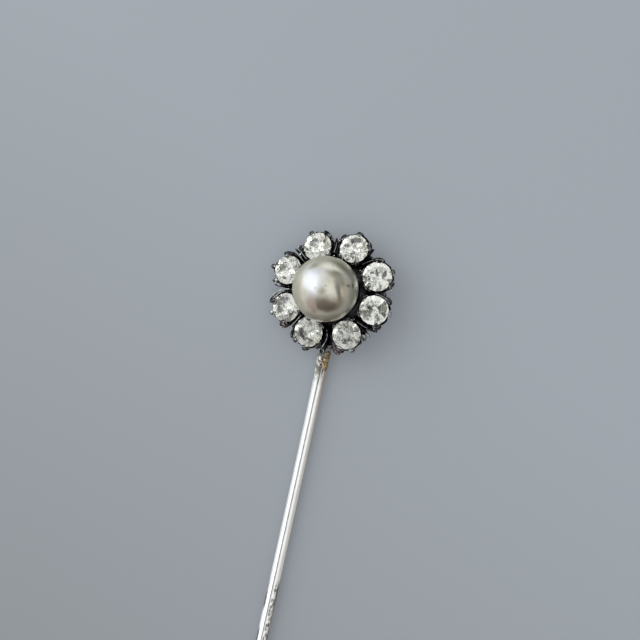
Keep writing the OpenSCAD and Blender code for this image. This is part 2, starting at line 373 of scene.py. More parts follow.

# %% [markdown]
# Nacre shines from below its surface: a soft metallic lustre under a thin clear layer. This pearl is
# a silvery cream with tan clouds and greyer streaks down its right side. Some ovals are painted
# light: a painted highlight at the upper left, a painted glint at the right edge and a painted
# reflection low on the front, dark brown with a pink rim. Such clouds could be painted on, but a
# list of soft ovals that are blended one over another stays sharp at any size. Each oval lies on the
# unit pearl: its middle is given in hundredths of the radius to the right and up on the pearl's front,
# then the turn of its long side, its half lengths, its softness and its colour.

# %% Nacre
NACRE_AND_PAINTED_LIGHT = [
    # The next two ovals are a painted highlight: the key light's reflection at the upper left.
    ((-38, 26), 75, (46, 32), 0.7, (0.47, 0.49, 0.52)),
    ((-58, 54), 45, (24, 14), 0.9, (0.62, 0.63, 0.60)),
    ((-60, -14), 80, (18, 9), 0.8, (0.46, 0.45, 0.36)),
    # Painted highlight: the lower part of the key light's reflection.
    ((-35, -14), 80, (26, 9), 0.8, (0.60, 0.61, 0.62)),
    ((-10, 36), 70, (22, 10), 0.9, (0.54, 0.54, 0.50)),
    ((6, -90), 2, (72, 22), 0.7, (0.26, 0.225, 0.165)),
    ((88, 2), 82, (80, 26), 0.7, (0.30, 0.29, 0.225)),
    ((-26, 69), 12, (20, 8), 0.8, (0.34, 0.32, 0.25)),
    ((16, 69), -6, (28, 12), 0.7, (0.70, 0.69, 0.57)),
    ((54, 62), -42, (36, 13), 0.8, (0.20, 0.18, 0.12)),
    ((34, 41), -16, (25, 12), 0.7, (0.16, 0.155, 0.11)),
    ((46, 20), -40, (28, 14), 0.8, (0.24, 0.235, 0.18)),
    ((64, 30), -10, (20, 4), 0.8, (0.40, 0.41, 0.38)),
    ((58, 46), -34, (22, 3), 0.8, (0.38, 0.37, 0.30)),
    ((60, -18), 84, (26, 9), 0.8, (0.50, 0.47, 0.39)),
    ((39, -8), -74, (32, 8), 0.7, (0.19, 0.18, 0.135)),
    ((-8, -8), 30, (12, 9), 0.9, (0.34, 0.32, 0.25)),
    ((15, -14), -62, (24, 11), 0.7, (0.68, 0.665, 0.56)),
    # The next two ovals are a painted reflection, dark brown, low on the front.
    ((2, -50), -8, (46, 27), 0.7, (0.165, 0.128, 0.090)),
    ((-3, -56), -10, (36, 15), 0.8, (0.080, 0.065, 0.044)),
    # The next two ovals are the pink rim of that painted reflection.
    ((-41, -50), 80, (26, 12), 0.9, (0.32, 0.255, 0.205)),
    ((-36, -56), 80, (14, 6), 0.9, (0.29, 0.205, 0.155)),
    ((69, 8), 10, (7, 5), 0.9, (0.20, 0.17, 0.13)),
    ((81, 7), 60, (7, 4.5), 0.8, (0.09, 0.07, 0.045)),
    # Painted highlight: a glint at the right edge.
    ((91, 17), 75, (8, 3.2), 0.9, (0.85, 0.82, 0.75)),
    ((1, 8), 0, (4, 3), 0.8, (0.37, 0.35, 0.28)),
    ((-30, 2), 0, (4, 3), 0.7, (0.40, 0.43, 0.42)),
    ((23, 67), 0, (3, 3.5), 0.8, (0.42, 0.39, 0.30)),
]
nacre, tree, shader = start_finish(
    "nacre", Metallic=0.55, Roughness=0.33, Coat_Weight=0.35, Coat_Roughness=0.25, Coat_IOR=1.55)
unit_pearl = put(tree, "ShaderNodeMapping", {
    "Vector": here(tree), "Location": -pearl_middle / (PEARL_R * MM),
    "Scale": (1 / (PEARL_R * MM),) * 3}).outputs[0]
drift = wander(tree, unit_pearl, 3.5, 3.0, 0.17)
nacre_colour_and_painted_light = blend(tree, place_effect(tree, patches, Scale=330.0, Low=0.4, High=0.62, Seed=8.0),
                     (0.60, 0.58, 0.465, 1), (0.49, 0.455, 0.34, 1))


def oval(tree, where, middle, frame_turn, half, soft):
    """A mask that is 1 inside an oval and fades out round its edge."""
    fitted = put(tree, "ShaderNodeMapping", {
        "Vector": where, "Location": middle, "Rotation": frame_turn.to_euler(), "Scale": half},
        vector_type="TEXTURE")
    far = put(tree, "ShaderNodeVectorMath", {0: fitted.outputs[0]}, operation="LENGTH")
    return soft_step(tree, far.outputs["Value"], 1.0 + soft, 1.0 - soft)


def on_pearl(at, turn):
    """The point of the unit pearl that is seen there, and the turn of an oval round it."""
    x, y = at[0] / 100, at[1] / 100
    out = side * x + up * y + FORWARD * math.sqrt(1 - x * x - y * y)
    flat = side * math.cos(math.radians(turn)) + up * math.sin(math.radians(turn))
    flat = (flat - out * flat.dot(out)).normalized()
    return out, axes(flat, out.cross(flat), out)


for at, turn, half, soft, colour in NACRE_AND_PAINTED_LIGHT:
    cloud = oval(tree, drift, *on_pearl(at, turn), (half[0] / 100, half[1] / 100, 0.5), soft)
    nacre_colour_and_painted_light = blend(tree, cloud, nacre_colour_and_painted_light, (*colour, 1))
tree.links.new(nacre_colour_and_painted_light, shader.inputs["Base Color"])
relief(tree, shader, place_effect(tree, patches, Scale=1800.0, Low=0.2, High=0.8, Seed=9.0),
       0.12, 0.00004)
print("finish:", nacre.name, "with", len(NACRE_AND_PAINTED_LIGHT), "clouds")

# %% [markdown]
# The stones are taken to be clear, heavy glass with a foil behind: light goes in through the
# crown, is mirrored by the pavilion and comes out again. So the crown is plain glass and the
# pavilion's faces are mirrors, a little dulled here and there by age. The crowns carry painted dark
# reflections: small ovals, and wide ones that dim whole stones. A table gives each one's stone, its
# middle to the right and up in hundredths of the stone's radius, the turn and half lengths of its oval,
# and its depth: a depth of less than 1 only dims the place, and one of 2 makes most of the oval dark.

# %% Clear stone and its foil
# Painted dark reflections on the crowns of the stones.
PAINTED_DARK_REFLECTIONS = [
    ("stone_3", (14, 36), 10, (36, 20), 0.60),
    ("stone_3", (54, 30), 0, (13, 10), 2.00),
    ("stone_3", (-78, -30), 80, (20, 9), 1.00),
    ("stone_2", (16, 54), -10, (36, 19), 1.80),
    ("stone_2", (-12, 47), 0, (13, 9), 2.50),
    ("stone_1", (46, 14), 80, (32, 14), 1.70),
    ("stone_1", (-52, -22), 60, (14, 9), 1.60),
    ("stone_1", (-50, 68), 30, (13, 8), 1.60),
    ("stone_8", (30, -52), 60, (13, 9), 0.50),
    ("stone_7", (0, 0), 0, (115, 115), 0.36),
    ("stone_7", (8, -38), 30, (24, 14), 2.40),
    ("stone_7", (-6, -54), -15, (18, 9), 2.00),
    ("stone_7", (-42, 42), 60, (22, 7), 1.20),
    ("stone_7", (35, 25), 60, (50, 20), 0.50),
    ("stone_6", (0, 0), 0, (115, 115), 0.38),
    ("stone_6", (-34, -8), 120, (40, 12), 2.00),
    ("stone_6", (18, -54), 140, (20, 12), 1.20),
    ("stone_5", (0, 0), 0, (115, 115), 0.06),
    ("stone_5", (-28, 44), 20, (60, 30), 1.20),
    ("stone_5", (-66, 34), 60, (16, 10), 2.50),
    ("stone_5", (-45, -25), 50, (28, 20), 0.60),
    ("stone_5", (45, -40), 60, (12, 9), 2.00),
    ("stone_4", (0, 0), 0, (115, 115), 0.18),
    ("stone_4", (-16, -56), -30, (16, 8), 1.60),
    ("stone_4", (52, 25), 40, (16, 9), 1.00),
]
CROWN_MIDDLE = 0.3  # height above the girdle at which the painted dark reflections lie
clear, tree, shader = start_finish("clear stone", IOR=1.6, Transmission_Weight=1.0)
where = wander(tree, here(tree), 1500.0, 2.0, 0.9 * MM)
speckle = place_effect(tree, patches, Scale=2400.0, Low=0.42, High=0.62, Seed=14.0)
painted_dark_reflection = 0.0
for node, at, turn, half, depth in PAINTED_DARK_REFLECTIONS:
    place, across = STONES[node]
    reach = across / 2 * MM
    middle = place @ Vector((0, 0, CROWN_MIDDLE)) + (side * at[0] + up * at[1]) * reach / 100
    turned = axes(side, up, FORWARD) @ Matrix.Rotation(math.radians(turn), 4, "Z")
    mask = oval(tree, where, middle, turned, (half[0] * reach / 100, half[1] * reach / 100, MM), 0.5)
    painted_dark_reflection = maths(tree, "MULTIPLY_ADD", mask, depth, painted_dark_reflection)
painted_reflection_mask = maths(tree, "MULTIPLY", painted_dark_reflection, spread(tree, speckle, 1.0, 0.7))
# The painted dark reflections darken the crown's colour and make it rougher.
tree.links.new(blend(tree, painted_reflection_mask, (0.97, 0.99, 0.98, 1), (0.03, 0.03, 0.026, 1)),
               shader.inputs["Base Color"])
tree.links.new(spread(tree, painted_reflection_mask, 0.05, 0.14), shader.inputs["Roughness"])
foil, tree, shader = start_finish("foil", Metallic=1.0, Roughness=0.10)
aged = blend(tree, place_effect(tree, patches, Scale=1100.0, Low=0.58, High=0.76, Seed=11.0, Detail=1.0),
             (0.905, 0.90, 0.85, 1), (0.19, 0.19, 0.165, 1))
tree.links.new(aged, shader.inputs["Base Color"])
print("finishes:", clear.name, "and", foil.name)

# %% [markdown]
# Now the pieces. Each is drawn in its own frame in millimetres and put in its place by one
# matrix. A piece is smoothed with a subdivision surface, roughened by a hair so that no edge is
# machine made, and its convex edges are found: there the wear attribute is high.

# %% Helpers for pieces


def new_object(name, bm, finishes=()):
    """Makes an object of a bmesh and puts it in the scene."""
    mesh = bpy.data.meshes.new(name)
    bm.to_mesh(mesh)
    bm.free()
    for finish in finishes:
        mesh.materials.append(finish)
    made = bpy.data.objects.new(name, mesh)
    bpy.context.scene.collection.objects.link(made)
    return made


def smoothed(bm, levels):
    """The same shape with a subdivision surface applied."""
    draft = new_object("draft", bm)
    mesh = draft.data
    surface = draft.modifiers.new("surface", "SUBSURF")
    surface.levels = surface.render_levels = levels
    fine = bmesh.new()
    fine.from_object(draft, bpy.context.evaluated_depsgraph_get())
    bpy.data.objects.remove(draft)
    bpy.data.meshes.remove(mesh)
    return fine


def hand_made(bm, amount, grain, seed):
    """Moves each corner along its normal by a noise of that amount and grain, in millimetres."""
    bm.normal_update()
    shift = Vector((seed, 2.3 * seed, -seed))
    moves = [v.normal * noise.noise(v.co / grain + shift) * amount for v in bm.verts]
    for v, move in zip(bm.verts, moves):
        v.co += move


def edge_wear(bm, reach):
    """How far each corner stands out from its neighbours, from 0 to 1, smoothed twice."""
    bm.normal_update()
    wear = []
    for v in bm.verts:
        around = [e.other_vert(v) for e in v.link_edges]
        middle = sum((o.co for o in around), Vector()) / len(around)
        span = sum((o.co - v.co).length for o in around) / len(around)
        wear.append(max(0.0, (v.co - middle).dot(v.normal) / span / reach))
    for _ in range(2):
        wear = [0.5 * wear[v.index] + 0.5 * sum(
            wear[e.other_vert(v).index] for e in v.link_edges) / len(v.link_edges)
            for v in bm.verts]
    return [min(1.0, w) for w in wear]


# Places of brown and of bare silver: u, v and radius in the head's frame
BROWN = [(1.95, -6.2, 0.9), (-1.7, -6.9, 0.9), (-4.4, -4.9, 0.7), (-3.1, -5.8, 0.7)]
BARE = [(-6.3, -3.5, 0.8), (-6.3, -0.5, 0.6), (6.7, -1.3, 0.6), (4.3, -5.3, 0.6), (3.6, -5.8, 0.5),
        (4.8, -3.9, 0.35), (3.5, 2.6, 0.5), (-1.1, 6.3, 0.5), (6.3, 0.9, 0.4)]
TABLE = cad_box[0][2]
LEFT_BELOW = 0.1  # how much is left of what would reach below the table


def clamp(value):
    return min(1.0, max(0.0, value))


def nearness(bm, spots):
    """How near each corner is to one of the spots, from 0 outside them to 1 in a middle."""
    head_frame = HEAD.inverted()
    flat = [(head_frame @ v.co).to_2d() for v in bm.verts]
    return [max(max(0.0, 1 - ((p.x - u) ** 2 + (p.y - v) ** 2) / r ** 2) for u, v, r in spots)
            for p in flat]


def add_piece(name, bm, place, finishes, stands_for, attributes=None, smooth=True):
    """Puts a finished bmesh in its place. What would reach below the table is worn nearly flat."""
    bmesh.ops.transform(bm, matrix=place, verts=bm.verts)
    for v in bm.verts:
        if v.co.z < TABLE:
            v.co.z = TABLE + (v.co.z - TABLE) * LEFT_BELOW
    attributes = dict(attributes or {})
    if oxidised in finishes:
        attributes["brown"] = nearness(bm, BROWN)
        attributes["bare"] = nearness(bm, BARE)
    piece = new_object(name, bm, finishes)
    for label, values in attributes.items():
        layer = piece.data.attributes.new(label, "FLOAT", "POINT")
        layer.data.foreach_set("value", values)
    piece.data.shade_smooth() if smooth else piece.data.shade_flat()
    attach(piece, "root")
    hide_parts(stands_for)
    print(f"{name}: {len(piece.data.polygons)} faces")


def add_silver(name, bm, place, wear=None):
    """Puts a piece of blackened silver in its place."""
    add_piece(name, bm, place, [oxidised], "setting_and_stem",
              {"wear": wear} if wear else None)


# %% [markdown]
# A cut stone is its solid with every crown edge softened by a hundredth of a millimetre, which
# catches the light as a thin line. All faces below the girdle carry the foil. The facets are
# flat, so the mesh isn't smoothed.

# %% The eight stones
EDGE = 0.012


def cut_stone(node):
    place, across = STONES[node]
    bm = merged_copy(node)
    bmesh.ops.transform(bm, matrix=place.inverted(), verts=bm.verts)
    crown = [e for e in bm.edges if min(v.co.z for v in e.verts) > -GIRDLE_T]
    bmesh.ops.bevel(bm, geom=crown, offset=EDGE, affect="EDGES", segments=1, profile=0.5,
                    material=-1)
    bm.normal_update()
    for face in bm.faces:
        face.material_index = 1 if face.calc_center_median().z < -GIRDLE_T / 2 - EDGE else 0
    add_piece("cut_" + node, bm, place, [clear, foil], node, smooth=False)


for node in STONES:
    cut_stone(node)

# %% [markdown]
# The pearl is round but not turned: its skin waves by a hundredth of a millimetre, which bends the
# reflections. A sphere of even triangles takes the waves without a pole.

# %% The pearl
WAVE = 0.012

bm = bmesh.new()
bmesh.ops.create_icosphere(bm, subdivisions=6, radius=PEARL_R - WAVE)
hand_made(bm, WAVE, 1.6, 4.0)
hand_made(bm, 0.003, 0.5, 9.0)
add_piece("pearl_skin", bm, HEAD @ Matrix.Translation((0, 0, PEARL_LIFT)), [nacre], "pearl")

# %% [markdown]
# Claws, cups and the stem are all made by growing one face: a small disc is extruded from
# station to station, and each station's matrix says where the disc stands, how it leans and how wide
# and thick it is there. That is how a wire is forged, and it keeps every piece closed.

# %% Growing a piece from station to station


def disc(where, turn, width, depth):
    """The matrix that places and turns a disc of that width along its x and depth along its y."""
    return Matrix.Translation(where) @ turn @ Matrix.Diagonal((width / 2, depth / 2, 1, 1))


def grow(bm, stations, sides=8):
    """Extrudes a disc through the stations, which are matrices that place a unit disc."""
    made = bmesh.ops.create_circle(bm, cap_ends=True, segments=sides, radius=1, matrix=stations[0])
    face = made["verts"][0].link_faces[0]
    for before, after in zip(stations, stations[1:]):
        grown = bmesh.ops.extrude_face_region(bm, geom=[face])["geom"]
        corners = [g for g in grown if isinstance(g, bmesh.types.BMVert)]
        bmesh.ops.transform(bm, matrix=after @ before.inverted(), verts=corners)
        face = next(g for g in grown if isinstance(g, bmesh.types.BMFace))


def along_at(line, k):
    """The direction in which a line of points runs at one of them."""
    return (line[min(k + 1, len(line) - 1)] - line[max(k - 1, 0)]).normalized()


def spun(bm, profile, steps):
    """Turns a closed profile of (radius, height) points into a ring, as on a lathe."""
    corners = [bm.verts.new((radius, 0, height)) for radius, height in profile]
    edges = [bm.edges.new(pair) for pair in zip(corners, corners[1:] + corners[:1])]
    bmesh.ops.spin(bm, geom=corners + edges, cent=(0, 0, 0), axis=(0, 0, 1),
                   angle=2 * math.pi, steps=steps, use_merge=True)
    bmesh.ops.recalc_face_normals(bm, faces=bm.faces)


# %% [markdown]
# A collet is a tapered cup with claws. Its rim is filed down between the claws. Each claw starts as
# a rib at the foot, leans out along the wall, and is bent over the stone's edge at the top. It is
# grown flat and then wrapped round the stone's axis. No two are alike: a table gives each one's
# angle from the outward side, how far it stands out, and its width.

# %% The eight collets
SETTING_H = 1.95  # from the girdles down to the back
CLAW_SHARES = (0.8, 0.85, 0.9, 1.0, 1.0, 0.9, 0.7, 0.5, 0.26)
CLAW_DEPTHS = (0.30, 0.30, 0.28, 0.28, 0.28, 0.26, 0.22, 0.18, 0.12)
CLAWS = {
    "stone_1": [(-149, 0, 0.50), (-45, 0.08, 0.75), (2, 0, 0.60), (68, 0.12, 1.25), (147, 0, 0.46)],
    "stone_2": [(-144, 0, 0.46), (-52, 0.05, 1.10), (8, -0.02, 0.95), (70, 0.04, 0.80), (149, 0, 0.44)],
    "stone_3": [(-150, 0, 0.50), (-56, 0.06, 1.25), (8, -0.03, 0.60), (75, 0.12, 0.70), (147, 0, 0.46)],
    "stone_4": [(-149, 0, 0.46), (-66, 0.12, 1.50), (11, 0.12, 0.60), (66, 0.28, 0.80), (147, 0, 0.46)],
    "stone_5": [(-149, 0, 0.46), (-47, 0.20, 0.90), (-3, 0.10, 0.55), (59, 0.22, 0.90), (147, 0, 0.46)],
    "stone_6": [(-149, 0, 0.46), (-33, 0.02, 0.70), (15, 0.08, 0.80), (66, 0.14, 0.90), (147, 0, 0.44)],
    "stone_7": [(-151, 0, 0.46), (-49, 0.24, 1.10), (-3, 0.08, 0.60), (60, 0.22, 0.90), (150, 0, 0.48)],
    "stone_8": [(-147, 0, 0.46), (-57, 0.22, 1.00), (9, 0, 0.60), (56, 0.2, 1.00), (151, 0, 0.48)],
}


def rim_drop(turn, claws):
    """How far the rim is filed down at an angle: nothing at a claw, most in between."""
    nearest = min(abs((turn - claw[0] + 180) % 360 - 180) for claw in claws)
    return 0.55 * clamp((nearest - 14) / 20) ** 0.7


def claw(bm, edge, turn, out, width):
    """One rib from the foot of the cup to the tip that laps over the stone's edge."""
    path = [(1.10, -SETTING_H), (1.30, -1.45), (1.50 + out / 2, -0.95), (1.70 + out, -0.5),
            (edge + 0.23 + out, -0.12), (edge + 0.25 + out * 0.8, 0.10),
            (edge + 0.14 + out * 0.4, 0.25), (edge - 0.02, 0.27), (edge - 0.15, 0.20)]
    line = [Vector((radius, 0, height)) for radius, height in path]
    wide = Vector((0, 1, 0))
    stations = []
    for k, (share, depth) in enumerate(zip(CLAW_SHARES, CLAW_DEPTHS)):
        along = along_at(line, k)
        stations.append(disc(line[k], axes(wide.cross(along), wide, along), depth, width * share))
    first = len(bm.verts)
    grow(bm, stations)
    bm.verts.ensure_lookup_table()
    for v in bm.verts[first:]:
        across = v.co.y / max(v.co.x, 0.8) + math.radians(turn)
        v.co = Vector((v.co.x * math.cos(across), v.co.x * math.sin(across), v.co.z))


def collet(node, seed):
    place, across = STONES[node]
    edge = across / 2
    bm = bmesh.new()
    spun(bm, [(1.12, -SETTING_H), (1.22, -SETTING_H), (1.36, -1.5), (1.52, -1.0), (1.66, -0.55),
              (edge + 0.20, -0.15), (edge + 0.18, -0.02), (edge + 0.06, -0.03), (edge + 0.02, -0.3),
              (1.2, -0.95), (1.02, -1.5)], 60)
    for v in bm.verts:
        turn = math.degrees(math.atan2(v.co.y, v.co.x))
        v.co.z -= clamp((v.co.z + 1.3) / 1.2) * rim_drop(turn, CLAWS[node])
    for turn, out, width in CLAWS[node]:
        claw(bm, edge, turn, out, width)
    bm = smoothed(bm, 2)
    hand_made(bm, 0.045, 0.55, seed)
    hand_made(bm, 0.012, 0.16, seed + 5)
    add_silver("collet_" + node[-1], bm, place, edge_wear(bm, 0.16))


for k, node in enumerate(STONES):
    collet(node, 1.37 * k)

# %% [markdown]
# Between neighbouring collets the metal is filled up: a block of solder below, and on it leaves of
# silver that were sawn and filed by hand. Each leaf is a narrow ridge that runs outwards from the
# pearl, bends a little and ends in a lifted tip. A table gives its three points as distance
# and angle round the head, then its width and the height of its top. The blocks have a table too,
# with each one's outer end and the height of its top.

# %% The leaves between the collets
WEBS = [(5.7, -0.75), (5.62, -0.65), (5.6, -0.7), (5.75, -0.7), (6.2, -0.8), (6.1, -0.85),
        (5.75, -0.75), (5.8, -0.7)]
LEAVES = [
    ((3.6, 53), (5.3, 50.5), (6.5, 42), 0.50, -0.20),
    ((3.6, 66), (4.9, 57), (6.3, 56.5), 0.42, -0.30),
    ((3.7, 107), (4.7, 103.5), (5.8, 103), 0.30, -0.25),
    ((3.5, 100), (4.6, 99), (5.7, 98.5), 0.26, -0.35),
    ((3.5, 94), (4.6, 95.5), (5.7, 93), 0.32, -0.20),
    ((4.2, 141), (5.3, 142), (6.2, 140.5), 0.22, -0.20),
    ((4.2, 144.5), (5.3, 145), (6.3, 144.2), 0.20, -0.26),
    ((4.2, 148), (5.3, 148), (6.2, 148.5), 0.26, -0.22),
    ((4.3, 185), (5.6, 186), (6.75, 183), 0.48, -0.15),
    ((4.4, 191), (5.7, 192), (6.75, 196.5), 0.26, -0.22),
    ((4.2, 225), (5.8, 229), (6.8, 226.5), 0.46, -0.20),
    ((3.9, 231), (6.0, 233), (6.7, 240), 0.36, -0.20),
    ((3.6, 274), (5.0, 276), (6.95, 272.0), 0.70, -0.24),
    ((3.6, 284), (5.4, 281.5), (6.85, 289), 0.84, -0.20),
    ((3.4, 321), (5.0, 325.5), (6.6, 330.5), 0.48, -0.25),
    ((4.2, 319), (5.3, 321), (6.4, 322.5), 0.34, -0.30),
    ((3.4, 13), (4.8, 10.5), (6.5, 14.5), 0.44, -0.25),
    ((3.5, 6), (5.6, 8), (6.6, 0), 0.46, -0.15),
]


def on_head(radius, angle, height):
    """A point in the head's frame, from its distance and angle round the pearl."""
    turn = math.radians(angle)
    return Vector((radius * math.cos(turn), radius * math.sin(turn), height))


def leaf(bm, start, bend, tip, width, top):
    """A ridge through three points, with its foot in the block and its tip lifted."""
    corners = [on_head(*start, 0), on_head(*bend, 0), on_head(*tip, 0)]
    tall = Vector((0, 0, 1))
    stations = []
    for share, wide, rise in ((0, 0.5, -0.5), (0.25, 0.8, -0.25), (0.5, 1.0, -0.1), (0.72, 1.15, 0),
                              (0.88, 0.9, 0.05), (0.97, 0.5, 0), (1.0, 0.2, -0.06)):
        spot = (corners[0] * (1 - share) ** 2 + corners[1] * 2 * share * (1 - share)
                + corners[2] * share ** 2)
        along = ((corners[1] - corners[0]) * (1 - share) + (corners[2] - corners[1]) * share)
        along.normalize()
        deep = 0.95 - 0.55 * share
        spot.z = top + rise - deep / 2
        stations.append(disc(spot, axes(tall, along.cross(tall), along), deep, width * wide))
    grow(bm, stations)


def webs():
    turns = []
    for place, across in STONES.values():
        where = HEAD.inverted() @ place.translation
        turns.append(math.atan2(where.y, where.x))
    bm = bmesh.new()
    for k, (reach, top) in enumerate(WEBS):
        after = turns[(k + 1) % 8]
        middle = (turns[k] + after + (2 * math.pi if after < turns[k] else 0)) / 2
        turn = Matrix.Rotation(middle, 4, "Z")
        grow(bm, [disc(turn @ Vector((reach - back, 0, height)), turn, long, thick)
                  for height, back, long, thick in (
                      (-SETTING_H + 0.1, 0.95, 1.8, 1.0), (-1.3, 0.95, 1.8, 0.9),
                      (top - 0.25, 0.95, 1.7, 0.8), (top, 1.0, 1.3, 0.5))], 12)
    for start, bend, tip, width, top in LEAVES:
        leaf(bm, start, bend, tip, width, top)
    bm = smoothed(bm, 2)
    hand_made(bm, 0.05, 0.4, 12.0)
    hand_made(bm, 0.016, 0.14, 15.0)
    add_silver("webs", bm, HEAD, edge_wear(bm, 0.2))


webs()

# %% [markdown]
# A few places of the black silver are rubbed bright: the inner claws beside the pearl, where a finger
# slides over them, and thin scraped edges along some leaves. One of them runs down to the stem and
# ends in a curl. They are small pieces of their own. The scraped edges keep the black finish, with its
# wear turned up. A tip is given by its distance and angle round the head, height and size, and
# an edge by its height and its points: distance, angle and thickness.

# %% Rubbed tips and the curl
TIPS = [(3.9, 57, -0.1, 0.17), (3.75, 98, 0.0, 0.15), (3.8, 14, -0.1, 0.15), (5.3, 143.5, 0.0, 0.2),
        (6.5, 12.5, -0.35, 0.12), (4.1, 181, -0.05, 0.16), (3.95, 322, -0.15, 0.13),
        (3.75, 47, -0.3, 0.17), (3.95, 43, -0.35, 0.12), (3.7, 3, -0.25, 0.14)]
SCRAPED = [
    (-0.17, [(3.95, 273.6, 0.05), (4.45, 276.5, 0.06), (4.95, 277.2, 0.07), (5.5, 275.3, 0.08),
             (6.1, 272.5, 0.08), (6.45, 270.2, 0.09), (6.66, 270.6, 0.09), (6.76, 272.3, 0.09),
             (6.68, 274.3, 0.09), (6.46, 275.1, 0.09), (6.28, 274.0, 0.08), (6.32, 272.6, 0.05)]),
    (0.12, [(4.5, 188.9, 0.10), (5.3, 189.4, 0.18), (6.0, 191.8, 0.14), (6.6, 196.0, 0.12),
            (7.0, 199.4, 0.06)]),
    (0.06, [(5.5, 192.5, 0.08), (5.9, 194.6, 0.12), (6.5, 198.0, 0.10), (6.9, 200.9, 0.06)]),
    (0.0, [(4.0, 229.6, 0.06), (4.8, 231.2, 0.10), (5.6, 232.0, 0.10), (6.3, 235.5, 0.06)]),
    (0.0, [(4.3, 141.5, 0.05), (5.2, 141.6, 0.09), (5.9, 140.0, 0.05)]),
    (0.0, [(4.2, 146.0, 0.05), (5.1, 146.2, 0.09), (5.9, 146.0, 0.05)]),
    (-0.1, [(4.0, 99.5, 0.06), (4.7, 97.0, 0.12), (5.3, 96.5, 0.06)]),
    (-0.1, [(4.2, 322.5, 0.06), (5.2, 325.5, 0.10), (6.2, 328.0, 0.05)]),
    (-0.15, [(4.2, 52.5, 0.05), (5.2, 49.0, 0.08), (6.0, 45.5, 0.05)]),
    (-0.1, [(4.6, 8.5, 0.05), (5.4, 6.5, 0.09), (6.4, 2.5, 0.05)]),
    (-0.2, [(3.6, 6.0, 0.05), (3.8, 1.0, 0.12), (4.2, -2.0, 0.05)]),
]
SCRAPED_WEAR = 0.85


def towards(direction):
    """A turn whose z axis points that way."""
    return direction.to_track_quat("Z", "Y").to_matrix().to_4x4()


def rubbed_places():
    bm = bmesh.new()
    for radius, angle, height, size in TIPS:
        bmesh.ops.create_icosphere(bm, subdivisions=3, radius=size / 2,
                                   matrix=Matrix.Translation(on_head(radius, angle, height)))
    add_piece("rubbed_tips", bm, HEAD, [bright], "setting_and_stem")
    bm = bmesh.new()
    for height, table in SCRAPED:
        line = [on_head(radius, angle, height) for radius, angle, thick in table]
        grow(bm, [disc(spot, towards(along_at(line, k)), table[k][2], table[k][2])
                  for k, spot in enumerate(line)])
    bm = smoothed(bm, 1)
    hand_made(bm, 0.05, 0.35, 21.0)
    add_silver("scraped_edges", bm, HEAD, [SCRAPED_WEAR] * len(bm.verts))


rubbed_places()

# %% [markdown]
# Behind the collets lies the round plate that joins them, and on it the cup and the peg that
# carry the pearl. All are turned parts, so they are spun in one go. The plate's edge is rounded
# well, because its back touches the clothes.

# %% Back plate, cup and peg
PLATE_R = 5.45
PLATE_T = 0.4
CUP_R = 2.6
PEG_R = 0.4
HOLE_R = 0.02  # the spin leaves a fine hole along the axis, which is then filled
top = -SETTING_H + PLATE_T

bm = bmesh.new()
spun(bm, [(HOLE_R, -SETTING_H), (PLATE_R - 0.5, -SETTING_H), (PLATE_R - 0.08, -SETTING_H),
          (PLATE_R, -SETTING_H + 0.1), (PLATE_R, top - 0.1), (PLATE_R - 0.08, top),
          (3.0, top), (CUP_R, top + 0.05), (CUP_R, -1.1), (CUP_R, -0.6), (2.48, -0.58),
          (2.05, -0.72), (1.3, -1.12), (0.5, -1.34), (PEG_R, -1.2), (PEG_R, 0.5),
          (0.3, 0.68), (HOLE_R, 0.7)], 96)
bmesh.ops.holes_fill(bm, edges=[e for e in bm.edges if e.is_boundary], sides=0)
bm = smoothed(bm, 1)
hand_made(bm, 0.03, 0.7, 3.3)
add_silver("plate_and_cup", bm, HEAD, edge_wear(bm, 0.3))

# %% [markdown]
# The stem is grown too, from its filed end behind the head to the point. Attributes on its mesh say
# where the painted eye line, the tan side of painted shade and the tool marks are, because they follow
# the wire's length. The stations stand closer at the tool marks, which are real hollows.

# %% The stem
STEM_LAP = 3.4  # how far the wire runs on behind the head's middle
STEM_REACH = 62
POINT_L = 9
POINT_R = 0.06
RELIEF = 0.006  # the wire is drawn this much thinner than the mount, as room for its relief
SIDES = 64
ALONG_STEM = Matrix.Rotation(math.radians(90), 4, "X")
# Along the wire: the ends of the tool marks, and where the brown of the painted shade, tin and the coat
# of solder fade
TOOLED = (31.3, 47)
TAN_FADES = 9
TIN_ENDS = {"right": 8.3, "left": 10.0}
COAT_FADES = 7.5
# Round the wire, in radians: half of the painted eye line's width, and the place and half width of a
# side line
EYE_LINE_HALF, SIDE_AT, SIDE_HALF = 0.13, 1.21, 0.24
# The painted eye line lies on the side of the wire that faces the eye.
seen = HEAD.to_3x3().inverted() @ FORWARD
EYE_TURN = math.atan2(seen.x, seen.z)


def wave(*point):
    """A smooth noise between -1 and 1."""
    return noise.noise(Vector(point))


def stem_radius(along):
    """Radius of the wire at a distance from the head's middle towards the point."""
    taper = max(0.0, (along - (STEM_REACH - POINT_L)) / POINT_L)
    return WIRE_R - RELIEF + (POINT_R - WIRE_R) * taper


